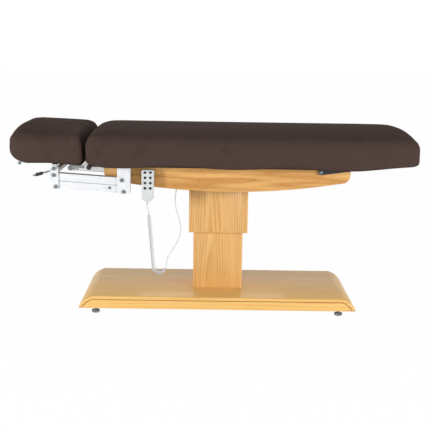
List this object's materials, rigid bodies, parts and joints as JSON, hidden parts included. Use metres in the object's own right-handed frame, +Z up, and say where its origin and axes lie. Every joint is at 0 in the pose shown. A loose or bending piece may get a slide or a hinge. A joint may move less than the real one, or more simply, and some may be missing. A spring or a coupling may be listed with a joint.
{
  "type": "spa treatment table",
  "caption": "Electric spa treatment table: padded top with lifting back, legs and headrest on a wooden telescopic pedestal, with a handset on a curly cord.",
  "frame": {"origin": "floor level under the middle of the table's length and width", "axes": "+X to the foot end, +Y to the side away from the handset, +Z up"},
  "size_m": [1.8417, 0.7504, 0.8835],
  "materials": {
    "brown_leather": "soft satin upholstery leather",
    "lacquered_wood": "clear gloss lacquer over honey ash veneer",
    "wrapped_plywood": "plywood wrapped in the upholstery leather",
    "white_steel": "white powder coat",
    "grey_steel": "grey paint",
    "bright_steel": "zinc plated",
    "black_steel": "black powder coat",
    "black_plastic": "moulded",
    "grey_abs": "moulded, fine grain",
    "pale_cord": "smooth jacket",
    "black_button": "moulded rubber"
  },
  "bodies": {
    "base": {"base_panel": "lacquered_wood", "base_edge_frame": "lacquered_wood", "base_steel_frame": "grey_steel", "base_feet": "bright_steel", "column_plate_bolts": "bright_steel", "column_outer_tube": "grey_steel", "column_lower_cover": "lacquered_wood", "lift_actuator_body": "black_steel"},
    "lift": {"column_inner_tube": "grey_steel", "lift_actuator_rod": "bright_steel", "column_upper_cover": "lacquered_wood", "cross_bearers": "grey_steel", "apron_near": "lacquered_wood", "apron_far": "lacquered_wood", "apron_end_rails": "lacquered_wood", "control_box": "black_plastic", "cord_gland": "black_plastic", "seat_deck": "wrapped_plywood", "hip_hinge_lugs": "grey_steel", "hip_hinge_pins": "bright_steel", "leg_hinge_bolts": "bright_steel", "handset_holder": "black_plastic", "handset_front_shell": "grey_abs", "handset_back_shell": "grey_abs", "handset_strain_relief": "pale_cord", "cord_lead": "pale_cord", "cord_coil": "pale_cord", "cord_tail": "pale_cord", "seat_pad": "brown_leather", "hip_bend_pad": "brown_leather", "knee_bend_pad": "brown_leather"},
    "back": {"back_deck": "wrapped_plywood", "back_frame": "grey_steel", "rest_tube_caps": "black_plastic", "headrest_clevises": "white_steel", "clevis_pivot_bolts": "bright_steel", "back_pad": "brown_leather"},
    "leg": {"leg_deck": "wrapped_plywood", "leg_hinge_arms": "black_steel", "leg_pad": "brown_leather"},
    "upper_arms": {"headrest_upper_arms": "white_steel"},
    "lower_arms": {"headrest_lower_arms": "white_steel"},
    "carrier": {"headrest_carrier": "white_steel", "carrier_outer_plates": "white_steel", "carrier_pivot_bolts": "bright_steel"},
    "head": {"head_deck": "wrapped_plywood", "head_tilt_lugs": "white_steel", "head_stop_brackets": "grey_steel", "head_deck_fasteners": "bright_steel", "head_pad": "brown_leather"},
    "lever": {"release_lever": "bright_steel", "release_lever_grip": "black_plastic"},
    "button_1": {"handset_button_1": "black_button"},
    "button_2": {"handset_button_2": "black_button"},
    "button_3": {"handset_button_3": "black_button"},
    "button_4": {"handset_button_4": "black_button"},
    "button_5": {"handset_button_5": "black_button"},
    "button_6": {"handset_button_6": "black_button"},
    "button_7": {"handset_button_7": "black_button"},
    "button_8": {"handset_button_8": "black_button"}
  },
  "joints": [
    {"name": "column_lift", "type": "slide", "parent": "base", "child": "lift", "axis": [0, 0, 1], "range_m": [-0.19, 0.06]},
    {"name": "back_lift", "type": "hinge", "parent": "lift", "child": "back", "pos_m": [0.06, 0, 0.689], "axis": [0, 1, 0], "range_deg": [0, 60], "deforming": ["hip_bend_pad"]},
    {"name": "leg_lift", "type": "hinge", "parent": "lift", "child": "leg", "pos_m": [0.483, 0, 0.684], "axis": [0, -1, 0], "range_deg": [0, 30], "deforming": ["knee_bend_pad"]},
    {"name": "headrest_lift", "type": "hinge", "parent": "back", "child": "upper_arms", "pos_m": [-0.418, 0, 0.642], "axis": [0, 1, 0], "range_deg": [-10, 7]},
    {"name": "headrest_lower_arm", "type": "hinge", "parent": "back", "child": "lower_arms", "pos_m": [-0.41, 0, 0.59], "axis": [0, 1, 0], "range_deg": [-10, 7]},
    {"name": "headrest_carrier_level", "type": "hinge", "parent": "upper_arms", "child": "carrier", "pos_m": [-0.724, 0, 0.661], "axis": [0, 1, 0], "range_deg": [-7, 10]},
    {"name": "headrest_tilt", "type": "hinge", "parent": "carrier", "child": "head", "pos_m": [-0.724, 0, 0.691], "axis": [0, 1, 0], "range_deg": [-15, 0]},
    {"name": "release_lever_pull", "type": "hinge", "parent": "carrier", "child": "lever", "pos_m": [-0.74, 0, 0.679], "axis": [0, 1, 0], "range_deg": [0, 8], "stiffness_Nm_per_rad": 4, "springref_deg": -6.88},
    {"name": "button_press_1", "type": "slide", "parent": "lift", "child": "button_1", "axis": [0, 1, 0], "range_m": [0, 0.0012], "stiffness_N_per_m": 500},
    {"name": "button_press_2", "type": "slide", "parent": "lift", "child": "button_2", "axis": [0, 1, 0], "range_m": [0, 0.0012], "stiffness_N_per_m": 500},
    {"name": "button_press_3", "type": "slide", "parent": "lift", "child": "button_3", "axis": [0, 1, 0], "range_m": [0, 0.0012], "stiffness_N_per_m": 500},
    {"name": "button_press_4", "type": "slide", "parent": "lift", "child": "button_4", "axis": [0, 1, 0], "range_m": [0, 0.0012], "stiffness_N_per_m": 500},
    {"name": "button_press_5", "type": "slide", "parent": "lift", "child": "button_5", "axis": [0, 1, 0], "range_m": [0, 0.0012], "stiffness_N_per_m": 500},
    {"name": "button_press_6", "type": "slide", "parent": "lift", "child": "button_6", "axis": [0, 1, 0], "range_m": [0, 0.0012], "stiffness_N_per_m": 500},
    {"name": "button_press_7", "type": "slide", "parent": "lift", "child": "button_7", "axis": [0, 1, 0], "range_m": [0, 0.0012], "stiffness_N_per_m": 500},
    {"name": "button_press_8", "type": "slide", "parent": "lift", "child": "button_8", "axis": [0, 1, 0], "range_m": [0, 0.0012], "stiffness_N_per_m": 500}
  ],
  "couplings": [
    {"joint": "headrest_lower_arm", "follows": "headrest_lift", "ratio": 1},
    {"joint": "headrest_carrier_level", "follows": "headrest_lift", "ratio": -1}
  ]
}
